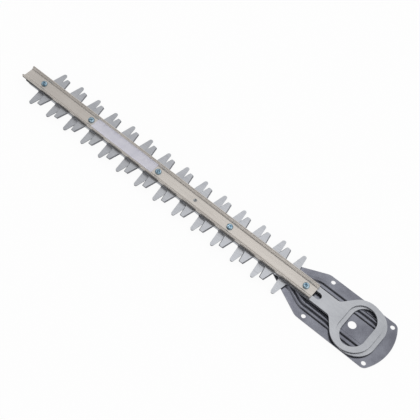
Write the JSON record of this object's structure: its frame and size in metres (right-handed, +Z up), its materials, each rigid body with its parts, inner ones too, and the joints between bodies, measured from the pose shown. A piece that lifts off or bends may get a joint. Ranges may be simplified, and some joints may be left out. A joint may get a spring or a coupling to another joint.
{
  "type": "hedge trimmer blade",
  "caption": "Double-sided hedge trimmer cutter set: channel guide bar, two sliding toothed blades with drive rings, and a pressed base plate with screw holes.",
  "frame": {"origin": "centre of the base plate's middle hole, on the underside plane that the set lies on", "axes": "+X along the guide bar to the tip, +Y across to one row of teeth, +Z up from the base plate to the guide bar"},
  "size_m": [0.5655, 0.0684, 0.0114],
  "materials": {
    "anodised_aluminium": "satin champagne anodised",
    "hardened_steel": "satin ground",
    "coated_steel": "satin slate grey coating",
    "label_film": "matt film",
    "zinc_steel": "bright zinc plated",
    "turned_steel": "turned"
  },
  "bodies": {
    "frame": {"guide_bar": "anodised_aluminium", "base_plate": "coated_steel", "label_film": "label_film", "guide_screw_1": "zinc_steel", "guide_screw_2": "zinc_steel", "guide_screw_3": "zinc_steel", "guide_screw_4": "zinc_steel", "guide_screw_5": "zinc_steel", "guide_washer_1": "zinc_steel", "guide_washer_2": "zinc_steel", "guide_washer_3": "zinc_steel", "guide_washer_4": "zinc_steel", "guide_nut_1": "zinc_steel", "guide_nut_2": "zinc_steel", "guide_nut_3": "zinc_steel", "guide_nut_4": "zinc_steel", "guide_sleeve_1": "turned_steel", "guide_sleeve_2": "turned_steel", "guide_sleeve_3": "turned_steel", "guide_sleeve_4": "turned_steel", "guide_sleeve_5": "turned_steel"},
    "upper_blade": {"upper_blade": "hardened_steel"},
    "lower_blade": {"lower_blade": "hardened_steel"}
  },
  "joints": [
    {"name": "upper_blade_slide", "type": "slide", "parent": "frame", "child": "upper_blade", "axis": [1, 0, 0], "range_m": [-0.0075, 0.0175]},
    {"name": "lower_blade_slide", "type": "slide", "parent": "frame", "child": "lower_blade", "axis": [1, 0, 0], "range_m": [-0.0025, 0.0225]}
  ]
}
